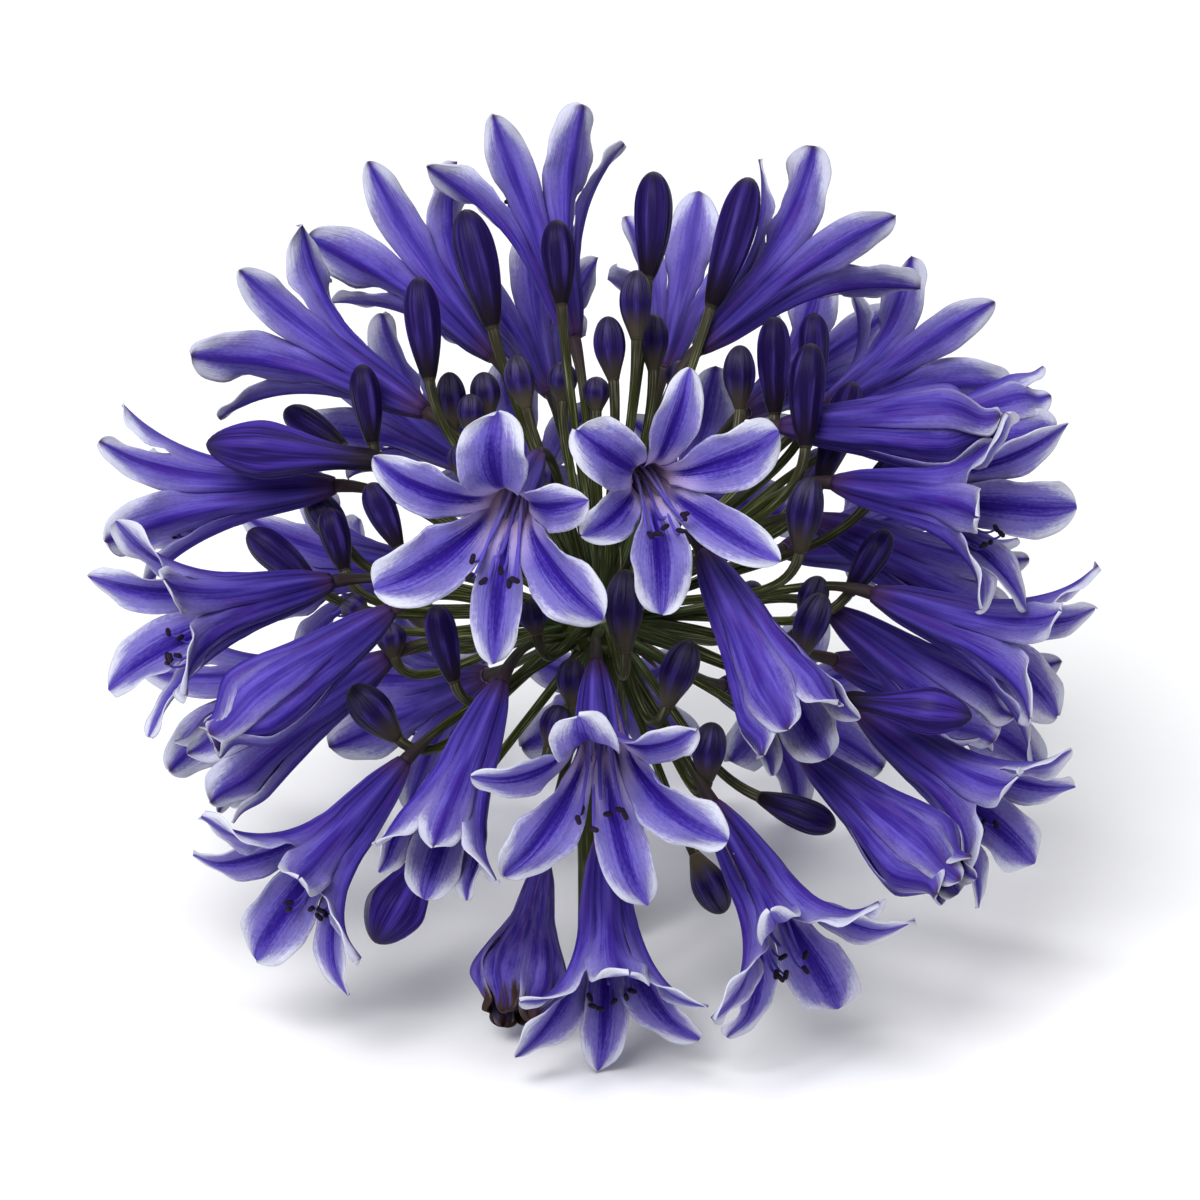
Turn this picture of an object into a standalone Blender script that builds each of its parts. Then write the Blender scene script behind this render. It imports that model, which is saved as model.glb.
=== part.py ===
"""Agapanthus flower head, cut with a short scape and standing on its cut end.

Florets and buds sit on pedicels that spring from one receptacle on top of the scape. The head is laid
out by hand in millimetres from the receptacle: right, up and toward the front, in a frame that is tipped
back by LAYOUT_TIP degrees, so that "toward" points a little upwards.
"""

import math

import bmesh
import bpy
import numpy as np
from mathutils import Matrix, Vector

MM = 0.001
COLLECTION_NAME = "agapanthus_head"

# Place of the receptacle's centre over the surface
HUB = Vector((1.0, 0.5, 61.0))
LAYOUT_TIP = math.radians(20.0)
RIGHT = Vector((1.0, 0.0, 0.0))
UP = Vector((0.0, math.sin(LAYOUT_TIP), math.cos(LAYOUT_TIP)))
TOWARD = Vector((0.0, -math.cos(LAYOUT_TIP), math.sin(LAYOUT_TIP)))

# Gap between solids that touch
GAP = 0.3

# Scape, receptacle and pedicels
SCAPE_RADIUS = 4.5
SCAPE_SIDES = 10
HUB_RADIUS = 8.0
HUB_FLATNESS = 0.8
HUB_SEGMENTS = 12
HUB_RINGS = 8
PEDICEL_RADIUS = 1.0
PEDICEL_END_SWELL = 1.25
PEDICEL_POINTS = 4
PEDICEL_ROOT = 5.0
PEDICEL_SINK = 1.0

# How far a pedicel's curve is pulled outwards at its root and back along the heading at its end, as shares
# of its reach
ROOT_PULL = 0.45
END_PULL = 0.30

# Floret: a tube that splits in six tepals, three inner wide ones between three outer narrow ones
TUBE_LENGTH = 15.0
NECK_LENGTH = 2.0
NECK_RADIUS = 2.2
SPLIT_RADIUS = 5.6
LOBE_LENGTH = 29.0
INNER_HALF_WIDTH = 5.8
OUTER_HALF_WIDTH = 4.2
TEPAL_THICKNESS = 0.75
TEPALS = 6
RING_POINTS = 2 * TEPALS

# Angle of a tepal's midrib from the floret's axis, at the split and at the tip, closed and wide open
CLOSED_ANGLES = (-2.0, -14.0)
OPEN_ANGLES = (9.0, 82.0)
CURL_POWER = 1.4
MIDRIB_STEPS = 60

# How much the spread of one tepal may differ from its floret's
SPREAD_VARIATION = 0.07

# Room kept between the edges of neighbouring tepals where the floret is too narrow for their full width
EDGE_GAP = 0.7

# Places along a tepal, from split to tip, where it has points across, and its width there
FINE_ROWS = (0.30, 0.62, 0.89)
FINE_WIDTHS = (0.77, 1.0, 0.66)
PLAIN_ROWS = (0.42, 0.82)
PLAIN_WIDTHS = (0.88, 0.84)

# Profiles of a bud as shares of its length and of its half width
BUD_PROFILE = ((0.0, 0.0), (0.10, 0.50), (0.48, 1.0), (0.82, 0.74), (1.0, 0.0))
SMALL_BUD_PROFILE = ((0.0, 0.0), (0.25, 0.85), (0.72, 1.0), (1.0, 0.0))
BUD_SIDES = 6

# Closest distance at which points are welded, in metres
WELD = 0.00001

# Name, colour and roughness of each material
PEDICEL_GREEN = ("pedicel green", (0.075, 0.115, 0.035, 1.0), 0.45)
TEPAL_VIOLET = ("tepal violet", (0.16, 0.11, 0.52, 1.0), 0.5)
BUD_INDIGO = ("bud indigo", (0.035, 0.022, 0.12, 1.0), 0.4)

# Florets: place of the base, heading of the trumpet, roll in degrees, spread from 0 closed to 1 wide
# open, size as a share of a full-grown floret, and whether the tepals have the finer rows
FLORETS = (
    ((-11, 28, 40), (-0.23, -0.33, 0.91), -5, 1.00, 1.00, True),
    ((4, 30, 40), (0.25, -0.15, 0.955), 58, 1.00, 1.00, True),
    ((-1, -7, 49), (0.03, -0.68, 0.73), 15, 1.00, 0.97, True),
    ((0, -37, 30), (0.05, -0.87, 0.49), 0, 0.78, 0.91, True),
    ((-34, -24, 28), (-0.59, -0.69, 0.42), 0, 0.90, 0.97, True),
    ((-17, -10, 46), (-0.33, -0.84, 0.42), 20, 0.50, 0.88, False),
    ((-10, -41, 18), (-0.17, -0.90, 0.30), 0, 0.20, 0.66, False),
    ((19, -31, 34), (0.46, -0.77, 0.43), 0, 0.90, 0.97, True),
    ((17, 12, 45), (0.42, -0.80, 0.42), 0, 0.42, 0.92, True),
    ((34, -22, 33), (0.70, -0.60, 0.39), 0, 0.28, 0.84, False),
    ((45, -16, 14), (0.77, -0.55, 0.34), 0, 0.78, 0.90, False),
    ((47, 5, 15), (0.92, -0.34, 0.21), 0, 0.85, 0.92, True),
    ((40, 2, 5), (0.80, -0.57, -0.15), 0, 0.30, 0.85, False),
    ((40, 24, 23), (0.86, -0.15, 0.49), 30, 0.82, 0.94, True),
    ((37, 18, -2), (0.85, -0.35, -0.30), 0, 0.50, 0.90, False),
    ((31, 34, 16), (0.98, -0.02, 0.20), 0, 0.20, 0.86, False),
    ((47, 32, -5), (0.93, 0.15, -0.30), 0, 0.42, 0.80, False),
    ((39, 37, -8), (0.58, 0.36, -0.72), 0, 0.85, 0.90, False),
    ((17, 48, 3), (0.68, 0.61, -0.40), 25, 0.85, 0.95, True),
    ((11, 45, -20), (0.14, 0.60, -0.80), 15, 0.80, 0.88, False),
    ((-5, 50, 0), (-0.24, 0.89, -0.38), 10, 0.85, 0.94, True),
    ((-9, 41, -26), (-0.16, 0.52, -0.84), 0, 0.80, 0.90, False),
    ((-19, 47, -5), (-0.52, 0.61, -0.60), 20, 0.82, 0.95, True),
    ((-31, 37, 3), (-0.79, 0.45, -0.38), 0, 0.88, 0.95, True),
    ((-23, 28, -25), (-0.58, 0.38, -0.74), 0, 0.80, 0.90, False),
    ((-47, 24, 0), (-0.97, -0.06, -0.22), 0, 0.75, 0.96, True),
    ((-47, 7, 14), (-0.89, -0.22, 0.38), 0, 0.85, 0.95, True),
    ((-36, 2, 32), (-0.78, -0.56, 0.28), 0, 0.16, 0.86, False),
    ((-37, -6, 10), (-0.84, -0.54, 0.00), 0, 0.50, 0.90, False),
    ((26, 38, -30), (0.52, 0.36, -0.80), 0, 0.80, 0.90, False),
    ((-31, 9, -35), (-0.68, 0.03, -0.73), 0, 0.80, 0.95, False),
    ((-10, 21, -43), (-0.22, 0.28, -0.93), 0, 0.85, 0.95, False),
    ((12, 20, -44), (0.25, 0.25, -0.93), 0, 0.85, 0.95, False),
    ((33, 13, -35), (0.70, 0.10, -0.71), 0, 0.85, 0.95, False),
    ((-21, -10, -44), (-0.42, -0.17, -0.90), 0, 0.80, 1.00, False),
    ((1, -11, -49), (0.02, -0.12, -0.99), 0, 0.80, 0.95, False),
    ((22, -12, -43), (0.45, -0.13, -0.89), 0, 0.80, 1.00, False),
    ((-42, -7, -24), (-0.85, -0.26, -0.47), 0, 0.80, 0.95, False),
    ((42, -7, -24), (0.85, -0.26, -0.47), 0, 0.80, 0.95, False),
)

# Buds that are pieces of their own: base, tip and width
LARGE_BUDS = (
    ((-19, 51, 10), (-24, 72, 9), 8.3),
    ((-30, 42, 12), (-32, 60, 12), 7.0),
    ((-40, 31, 8), (-42, 45, 8), 6.0),
    ((-7, 55, 12), (-8, 70, 12), 6.5),
    ((8, 60, 5), (9, 79, 4), 7.5),
    ((19, 55, 5), (26, 78, 3), 8.0),
    ((30, 36, 14), (30, 53, 15), 7.0),
    ((35, 30, 22), (36, 48, 23), 7.0),
    ((37, 40, 8), (37, 54, 8), 6.0),
    ((38, 24, 8), (44, 42, 7), 7.0),
    ((43, 5, 10), (50, 16, 11), 6.0),
    ((-35, 13, 22), (-40, 24, 23), 6.0),
    ((-45, 9, 6), (-48, 20, 6), 6.0),
    ((-50, 6, 5), (-62, 16, 4), 7.0),
    ((-25, -10, 38), (-28, 3, 41), 6.5),
    ((27, -30, 22), (40, -35, 26), 6.5),
    ((-38, 28, 12), (-69, 31, 10), 10.0),
    ((-27, -36, 20), (-39, -55, 24), 10.5),
    ((41, -13, 28), (63, -16, 33), 8.0),
    ((-46, 31, -16), (-57, 38, -22), 6.5),
)

# Buds that stay joined to their pedicels: base, tip and width
SMALL_BUDS = (
    ((6, 49, 15), (6, 61, 16), 5.5),
    ((2, 42, 15), (1, 53, 16), 5.5),
    ((9, 44, 5), (9, 54, 5), 5.0),
    ((-13, 37, 20), (-15, 46, 21), 5.0),
    ((-26, 34, 0), (-27, 44, 0), 5.0),
    ((-20, 36, 0), (-21, 44, 0), 5.0),
    ((-23, 33, 5), (-23, 40, 5), 4.5),
    ((-1, 37, 5), (-1, 43, 5), 4.5),
    ((-7, 39, -5), (-7, 46, -5), 5.0),
    ((24, 37, 15), (24, 48, 16), 5.5),
    ((47, 21, 3), (53, 29, 3), 6.0),
    ((34, 12, 25), (36, 25, 27), 6.0),
    ((35, 0, 12), (38, 8, 12), 5.0),
    ((34, -6, 22), (38, 5, 24), 6.0),
    ((-45, 13, -5), (-52, 23, -6), 6.0),
    ((-35, -20, 25), (-43, -11, 27), 6.5),
    ((-36, -6, 15), (-37, 0, 15), 5.0),
    ((-41, 1, 10), (-45, 4, 10), 4.5),
    ((4, -5, 45), (4, 9, 48), 6.0),
    ((11, -14, 42), (15, -3, 45), 6.0),
    ((18, -27, 30), (19, -17, 32), 6.0),
    ((16, -40, 20), (21, -50, 22), 6.0),
    ((-5, -14, 35), (-5, -6, 36), 5.0),
    ((-9, -21, 35), (-7, -14, 36), 5.0),
    ((-11, -2, 40), (-12, 4, 41), 5.0),
    ((-24, 25, 20), (-24, 31, 20), 5.0),
    ((-10, 22, 25), (-10, 28, 25), 5.0),
    ((13, 40, 0), (14, 46, 0), 4.5),
    ((-15, 12, -38), (-16, 20, -42), 5.5),
    ((3, 8, -42), (3, 16, -47), 5.5),
    ((25, 0, -38), (28, 7, -43), 5.5),
    ((-31, -2, -30), (-36, 6, -35), 5.5),
    ((35, 22, -20), (40, 31, -23), 5.5),
)


def place(spot):
    """A point of the layout in the object's frame: the three layout directions times its numbers."""
    return HUB + RIGHT * spot[0] + UP * spot[1] + TOWARD * spot[2]


def direction(spot):
    """A heading of the layout in the object's frame, of length one."""
    return (RIGHT * spot[0] + UP * spot[1] + TOWARD * spot[2]).normalized()


def frame_along(heading, roll=0.0):
    """Turning matrix whose Z is the heading and whose X is the layout's up, rolled about the heading."""
    across = (UP - heading * UP.dot(heading)).normalized()
    side = heading.cross(across)
    turn = Matrix((across, side, heading)).transposed()
    return turn @ Matrix.Rotation(roll, 3, "Z")


def make_material(name, colour, roughness):
    material = bpy.data.materials.new(name)
    material.use_nodes = True
    shader = material.node_tree.nodes["Principled BSDF"]
    shader.inputs["Base Color"].default_value = colour
    shader.inputs["Roughness"].default_value = roughness
    shader.inputs["Metallic"].default_value = 0.0
    return material


def add_object(name, mesh, material, collection):
    item = bpy.data.objects.new(name, mesh)
    collection.objects.link(item)
    mesh.materials.clear()
    mesh.materials.append(material)
    return item


def tepal_rows(spread, rows):
    """Radius and height of a tepal's midrib at each row and at the tip.

    The midrib leaves the split at one angle from the axis and bends to another at the tip; its radius
    and height are the sums of the sine and the cosine of that angle along it.
    """
    first, last = (shut + (wide - shut) * spread for shut, wide in zip(CLOSED_ANGLES, OPEN_ANGLES))
    steps = MIDRIB_STEPS
    share = (np.arange(steps) + 0.5) / steps
    angle = np.radians(first + (last - first) * share**CURL_POWER)
    radius = SPLIT_RADIUS + np.concatenate(([0.0], np.cumsum(np.sin(angle)))) * LOBE_LENGTH / steps
    height = TUBE_LENGTH + np.concatenate(([0.0], np.cumsum(np.cos(angle)))) * LOBE_LENGTH / steps
    stops = np.linspace(0.0, 1.0, steps + 1)
    wanted = (*rows, 1.0)
    return np.interp(wanted, stops, radius), np.interp(wanted, stops, height)


def ring_point(radius, height, turn):
    return (radius * math.cos(turn), radius * math.sin(turn), height)


def floret_mesh(name, spread, size, fine, random):
    """Open surface of a floret along +Z: a pole, two rings of the tube, and six tepals cut from the rim.

    A tepal's edges lie on the circle of its row, at the angle whose arc is the half width there, or at its
    share of the angle between two midribs where that is less. The whole floret is then scaled by its size.
    """
    rows = FINE_ROWS if fine else PLAIN_ROWS
    widths = FINE_WIDTHS if fine else PLAIN_WIDTHS
    points = [(0.0, 0.0, 0.0)]
    faces = []
    step = 2.0 * math.pi / RING_POINTS
    for radius, height in ((NECK_RADIUS, NECK_LENGTH), (SPLIT_RADIUS, TUBE_LENGTH)):
        for k in range(RING_POINTS):
            points.append(ring_point(radius, height, k * step))
    for k in range(RING_POINTS):
        a, b = 1 + k, 1 + (k + 1) % RING_POINTS
        c, d = a + RING_POINTS, b + RING_POINTS
        faces += [(0, b, a), (a, b, d), (a, d, c)]
    for lobe in range(TEPALS):
        inner = lobe % 2 == 0
        half = INNER_HALF_WIDTH if inner else OUTER_HALF_WIDTH
        turn = lobe * 2.0 * step
        radii, heights = tepal_rows(spread + random.uniform(-SPREAD_VARIATION, SPREAD_VARIATION), rows)
        middle = 1 + RING_POINTS + 2 * lobe
        last = 1 + RING_POINTS + (2 * lobe - 1) % RING_POINTS
        before = [last, middle, middle + 1]
        for radius, height, share in zip(radii[:-1], heights[:-1], widths):
            between = (2.0 * step - EDGE_GAP / radius) * half / (INNER_HALF_WIDTH + OUTER_HALF_WIDTH)
            spread_arc = min(half * share / radius, between)
            here = []
            for side in (-1, 0, 1):
                here.append(len(points))
                points.append(ring_point(radius, height, turn + side * spread_arc))
            for low, high in ((0, 1), (1, 2)):
                faces.append((before[low], before[high], here[high]))
                faces.append((before[low], here[high], here[low]))
            before = here
        tip = len(points)
        points.append(ring_point(radii[-1], heights[-1], turn))
        faces += [(before[0], before[1], tip), (before[1], before[2], tip)]
    mesh = bpy.data.meshes.new(name)
    mesh.from_pydata([Vector(p) * size * MM for p in points], [], faces)
    return mesh


def add_floret(number, entry, material, collection):
    base, heading, roll, spread, size, fine = entry
    random = np.random.default_rng(number)
    name = f"floret_{number:02d}"
    item = add_object(name, floret_mesh(name, spread, size, fine, random), material, collection)
    axis = direction(heading)
    item.matrix_world = Matrix.Translation(place(base) * MM) @ frame_along(axis, math.radians(roll)).to_4x4()
    skin = item.modifiers.new("tepal thickness", "SOLIDIFY")
    skin.thickness = TEPAL_THICKNESS * MM
    skin.offset = -1.0
    item.data.shade_smooth()
    return item


def add_bud(name, base, tip, width, outline, material, collection):
    """A six-sided turned bud: the profile runs down from the tip at +X and is turned about Z."""
    low, high = place(base), place(tip)
    length = (high - low).length
    mesh = bpy.data.meshes.new(name)
    profile = [(width / 2.0 * out * MM, 0.0, length * along * MM) for along, out in reversed(outline)]
    mesh.from_pydata(profile, [(k, k + 1) for k in range(len(profile) - 1)], [])
    item = add_object(name, mesh, material, collection)
    turned = item.modifiers.new("turned", "SCREW")
    turned.steps = BUD_SIDES
    turned.render_steps = BUD_SIDES
    turned.use_merge_vertices = True
    turned.merge_threshold = WELD
    item.matrix_world = Matrix.Translation(low * MM) @ frame_along((high - low).normalized()).to_4x4()
    return item


def pedicel_route(base, heading, end_shift):
    """A smooth curve from inside the receptacle to a base: it leaves outwards and ends along the heading."""
    end = base + heading * end_shift
    out = (end - HUB).normalized()
    start = HUB + out * PEDICEL_ROOT
    reach = (end - start).length
    first_pull = start + out * reach * ROOT_PULL
    last_pull = end - heading * reach * END_PULL
    route = []
    for k in range(PEDICEL_POINTS):
        t = k / (PEDICEL_POINTS - 1)
        s = 1.0 - t
        route.append(start * s**3 + first_pull * 3 * s * s * t + last_pull * 3 * s * t * t + end * t**3)
    return route


def add_pedicel(name, route, material, collection):
    """A four-sided stalk along a route, made a mesh with its caps welded."""
    curve = bpy.data.curves.new(name, "CURVE")
    curve.dimensions = "3D"
    curve.bevel_depth = PEDICEL_RADIUS * MM
    curve.bevel_resolution = 0
    curve.use_fill_caps = True
    spline = curve.splines.new("POLY")
    spline.points.add(len(route) - 1)
    for point, spot in zip(spline.points, route):
        point.co = (*(spot * MM), 1.0)
    spline.points[-1].radius = PEDICEL_END_SWELL
    line = bpy.data.objects.new(name, curve)
    collection.objects.link(line)
    solid = bpy.data.meshes.new_from_object(line.evaluated_get(bpy.context.evaluated_depsgraph_get()))
    shape = bmesh.new()
    shape.from_mesh(solid)
    bmesh.ops.remove_doubles(shape, verts=shape.verts, dist=WELD)
    shape.to_mesh(solid)
    shape.free()
    bpy.data.objects.remove(line)
    return add_object(name, solid, material, collection)


def add_green(green, collection):
    """Receptacle, scape, every pedicel and the small buds, joined in one body."""
    joined = bpy.data.collections.new("joined to the receptacle")
    bpy.context.scene.collection.children.link(joined)

    bpy.ops.mesh.primitive_uv_sphere_add(
        segments=HUB_SEGMENTS,
        ring_count=HUB_RINGS,
        radius=HUB_RADIUS * MM,
        location=HUB * MM,
    )
    hub = bpy.context.object
    hub.name = "scape_and_pedicels"
    hub.scale.z = HUB_FLATNESS
    bpy.ops.object.transform_apply(location=False, rotation=False, scale=True)
    for owner in hub.users_collection:
        owner.objects.unlink(hub)
    collection.objects.link(hub)
    hub.data.materials.append(green)

    bpy.ops.mesh.primitive_cylinder_add(
        vertices=SCAPE_SIDES,
        radius=SCAPE_RADIUS * MM,
        depth=HUB.z * MM,
        location=(HUB.x * MM, HUB.y * MM, HUB.z / 2.0 * MM),
    )
    scape = bpy.context.object
    for owner in scape.users_collection:
        owner.objects.unlink(scape)
    joined.objects.link(scape)

    for number, (base, heading, *_) in enumerate(FLORETS, 1):
        route = pedicel_route(place(base), direction(heading), -GAP)
        add_pedicel(f"floret stalk {number}", route, green, joined)
    for number, (base, tip, _) in enumerate(LARGE_BUDS, 1):
        route = pedicel_route(place(base), (place(tip) - place(base)).normalized(), -GAP)
        add_pedicel(f"bud stalk {number}", route, green, joined)
    for number, (base, tip, width) in enumerate(SMALL_BUDS, 1):
        route = pedicel_route(place(base), (place(tip) - place(base)).normalized(), PEDICEL_SINK)
        add_pedicel(f"small bud stalk {number}", route, green, joined)
        add_bud(f"small bud {number}", base, tip, width, SMALL_BUD_PROFILE, green, joined)

    union = hub.modifiers.new("joined", "BOOLEAN")
    union.operation = "UNION"
    union.operand_type = "COLLECTION"
    union.collection = joined
    union.solver = "EXACT"
    union.use_self = True
    bpy.context.view_layer.objects.active = hub
    bpy.ops.object.modifier_apply(modifier=union.name)
    for item in list(joined.objects):
        bpy.data.objects.remove(item)
    bpy.data.collections.remove(joined)
    return hub


def build():
    for item in list(bpy.data.objects):
        bpy.data.objects.remove(item)
    collection = bpy.data.collections.new(COLLECTION_NAME)
    bpy.context.scene.collection.children.link(collection)
    green = make_material(*PEDICEL_GREEN)
    violet = make_material(*TEPAL_VIOLET)
    indigo = make_material(*BUD_INDIGO)
    for number, entry in enumerate(FLORETS, 1):
        add_floret(number, entry, violet, collection)
    for number, (base, tip, width) in enumerate(LARGE_BUDS, 1):
        add_bud(f"bud_{number:02d}", base, tip, width, BUD_PROFILE, indigo, collection)
    add_green(green, collection)


build()
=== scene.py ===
"""Agapanthus flower head, dressed: petals, stamens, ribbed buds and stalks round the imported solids.

Sizes are in millimetres in the layout of the part's source: right, up and toward the front from the
receptacle, with the layout tipped back, and they become metres where a piece is made.
"""

import math

import bpy
import numpy as np
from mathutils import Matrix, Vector


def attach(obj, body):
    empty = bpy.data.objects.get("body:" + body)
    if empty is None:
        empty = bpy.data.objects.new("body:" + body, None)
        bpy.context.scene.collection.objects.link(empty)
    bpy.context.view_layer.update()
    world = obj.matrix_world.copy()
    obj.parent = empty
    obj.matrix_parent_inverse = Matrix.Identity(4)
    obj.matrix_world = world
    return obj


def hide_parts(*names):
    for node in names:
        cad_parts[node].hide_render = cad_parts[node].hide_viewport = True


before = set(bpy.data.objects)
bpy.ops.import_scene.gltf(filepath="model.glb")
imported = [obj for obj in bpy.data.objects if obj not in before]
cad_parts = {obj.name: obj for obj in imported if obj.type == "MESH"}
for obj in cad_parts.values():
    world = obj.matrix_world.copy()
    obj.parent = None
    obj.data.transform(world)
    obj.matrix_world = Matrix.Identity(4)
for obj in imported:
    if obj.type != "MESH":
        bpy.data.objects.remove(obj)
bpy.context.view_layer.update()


# Scape and receptacle
# The stem of the umbel, cut short, and the knob on it that every pedicel springs from. Green, fleshy and
# finely ribbed lengthwise; the cut face under it is pale and moist with a darker skin round it.

MM = 0.001
FULL_TURN = 2.0 * math.pi
HUB = np.array((1.0, 0.5, 61.0))
LAYOUT_TIP = math.radians(20.0)
RIGHT = np.array((1.0, 0.0, 0.0))
UP = np.array((0.0, math.sin(LAYOUT_TIP), math.cos(LAYOUT_TIP)))
TOWARD = np.array((0.0, -math.cos(LAYOUT_TIP), math.sin(LAYOUT_TIP)))

SCAPE_RADIUS = 4.4
SCAPE_ROWS = 40
SCAPE_SIDES = 64
SCAPE_RIBS = 14
SCAPE_RIB_DEPTH = 0.10
CUT_BEVEL = 0.3
HUB_RADIUS = 8.2
HUB_HEIGHT = 6.4

STALK_OLIVE = (0.023, 0.028, 0.005)
# Pale streak colour, partly the stalk's own streaks and partly painted highlight
STALK_PALE_AND_SHEEN = (0.230, 0.245, 0.145)
STALK_PURPLE = (0.030, 0.018, 0.026)
STALK_BLOOM = (0.030, 0.056, 0.028)
CUT_PITH = (0.48, 0.54, 0.26)


def place(spot):
    """A point of the layout in the object's frame: the three layout directions times its numbers."""
    return HUB + RIGHT * spot[0] + UP * spot[1] + TOWARD * spot[2]


def unit(vectors):
    """Vectors divided by their own lengths."""
    return vectors / np.linalg.norm(vectors, axis=-1, keepdims=True)


def direction(spot):
    """A heading of the layout in the object's frame, of length one."""
    return unit(RIGHT * spot[0] + UP * spot[1] + TOWARD * spot[2])


def ease(value, low, high):
    """Smooth step: 0 at low, 1 at high, and three times the square less twice the cube between."""
    share = np.clip((value - low) / (high - low), 0.0, 1.0)
    return share * share * (3.0 - 2.0 * share)


def sweep(path, radius, sides, reference):
    """Tube round a path: at each point a circle across the path, then a pole at each end.

    A ring's point is the path's point plus radius times (cosine of its angle times side + sine times up),
    where side is the path's direction crossed with the reference, and up the direction crossed with side.
    The radius is one number a row, or one for each point of each row.
    """
    along = unit(np.gradient(path, axis=0))
    side = unit(np.cross(along, reference))
    up = np.cross(along, side)
    angle = np.arange(sides) * FULL_TURN / sides
    rows = len(path)
    reach = np.broadcast_to(np.reshape(radius, (rows, -1)), (rows, sides))[:, :, None]
    circle = np.cos(angle)[None, :, None] * side[:, None, :] + np.sin(angle)[None, :, None] * up[:, None, :]
    rings = path[:, None, :] + reach * circle
    points = np.concatenate((rings.reshape(-1, 3), path[:1], path[-1:]))

    row = np.arange(rows - 1)[:, None] * sides
    here = np.arange(sides)[None, :]
    after = (here + 1) % sides
    quads = np.stack((row + here, row + after, row + sides + after, row + sides + here), -1).reshape(-1, 4)
    last = (rows - 1) * sides
    pole = np.full(sides, rows * sides)
    start_fan = np.stack((pole, after[0], here[0]), -1)
    end_fan = np.stack((pole + 1, last + here[0], last + after[0]), -1)

    share = np.repeat(np.linspace(0.0, 1.0, rows), sides)
    turn = np.tile(angle, rows)
    growth = np.stack((np.cos(turn), np.sin(turn), share), -1)
    growth = np.concatenate((growth, ((0.0, 0.0, 0.0), (0.0, 0.0, 1.0))))
    return {"points": points, "faces": (quads, start_fan, end_fan), "growth": growth}


def shaded(shell, first, second, third):
    """The shell with its three shade numbers at every point."""
    count = len(shell["points"])
    columns = [np.broadcast_to(np.asarray(value, float), (count,)) for value in (first, second, third)]
    return {**shell, "shade": np.stack(columns, -1)}


def add_piece(name, shells, material, nodes=()):
    """One object at the origin from closed shells in millimetres, riding on the root body.

    What would reach under the floor, such as the lowest petal tips, lies flat on it. Each point carries
    two vectors: growth, its place on its own shell, and shade, what its colour needs.
    """
    counts = [len(shell["points"]) for shell in shells]
    starts = np.concatenate(([0], np.cumsum(counts)[:-1]))
    corners = []
    sizes = []
    for shell, start in zip(shells, starts):
        for faces in shell["faces"]:
            corners.append((faces + start).ravel())
            sizes.append(np.full(len(faces), faces.shape[1]))
    corners = np.concatenate(corners).astype(np.int32)
    sizes = np.concatenate(sizes)
    points = np.concatenate([shell["points"] for shell in shells]) * MM
    points[:, 2] = np.maximum(points[:, 2], 0.0)

    mesh = bpy.data.meshes.new(name)
    mesh.vertices.add(len(points))
    mesh.vertices.foreach_set("co", points.astype(np.float32).ravel())
    mesh.loops.add(len(corners))
    mesh.loops.foreach_set("vertex_index", corners)
    mesh.polygons.add(len(sizes))
    mesh.polygons.foreach_set("loop_start", (np.cumsum(sizes) - sizes).astype(np.int32))
    mesh.polygons.foreach_set("use_smooth", np.ones(len(sizes), dtype=bool))
    mesh.update(calc_edges=True)
    for mark in ("growth", "shade"):
        values = np.concatenate([shell[mark] for shell in shells]).astype(np.float32)
        mesh.attributes.new(mark, "FLOAT_VECTOR", "POINT").data.foreach_set("vector", values.ravel())
    mesh.materials.append(material)

    piece = bpy.data.objects.new(name, mesh)
    bpy.context.scene.collection.objects.link(piece)
    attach(piece, "root")
    if nodes:
        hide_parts(*nodes)
    return piece


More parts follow.
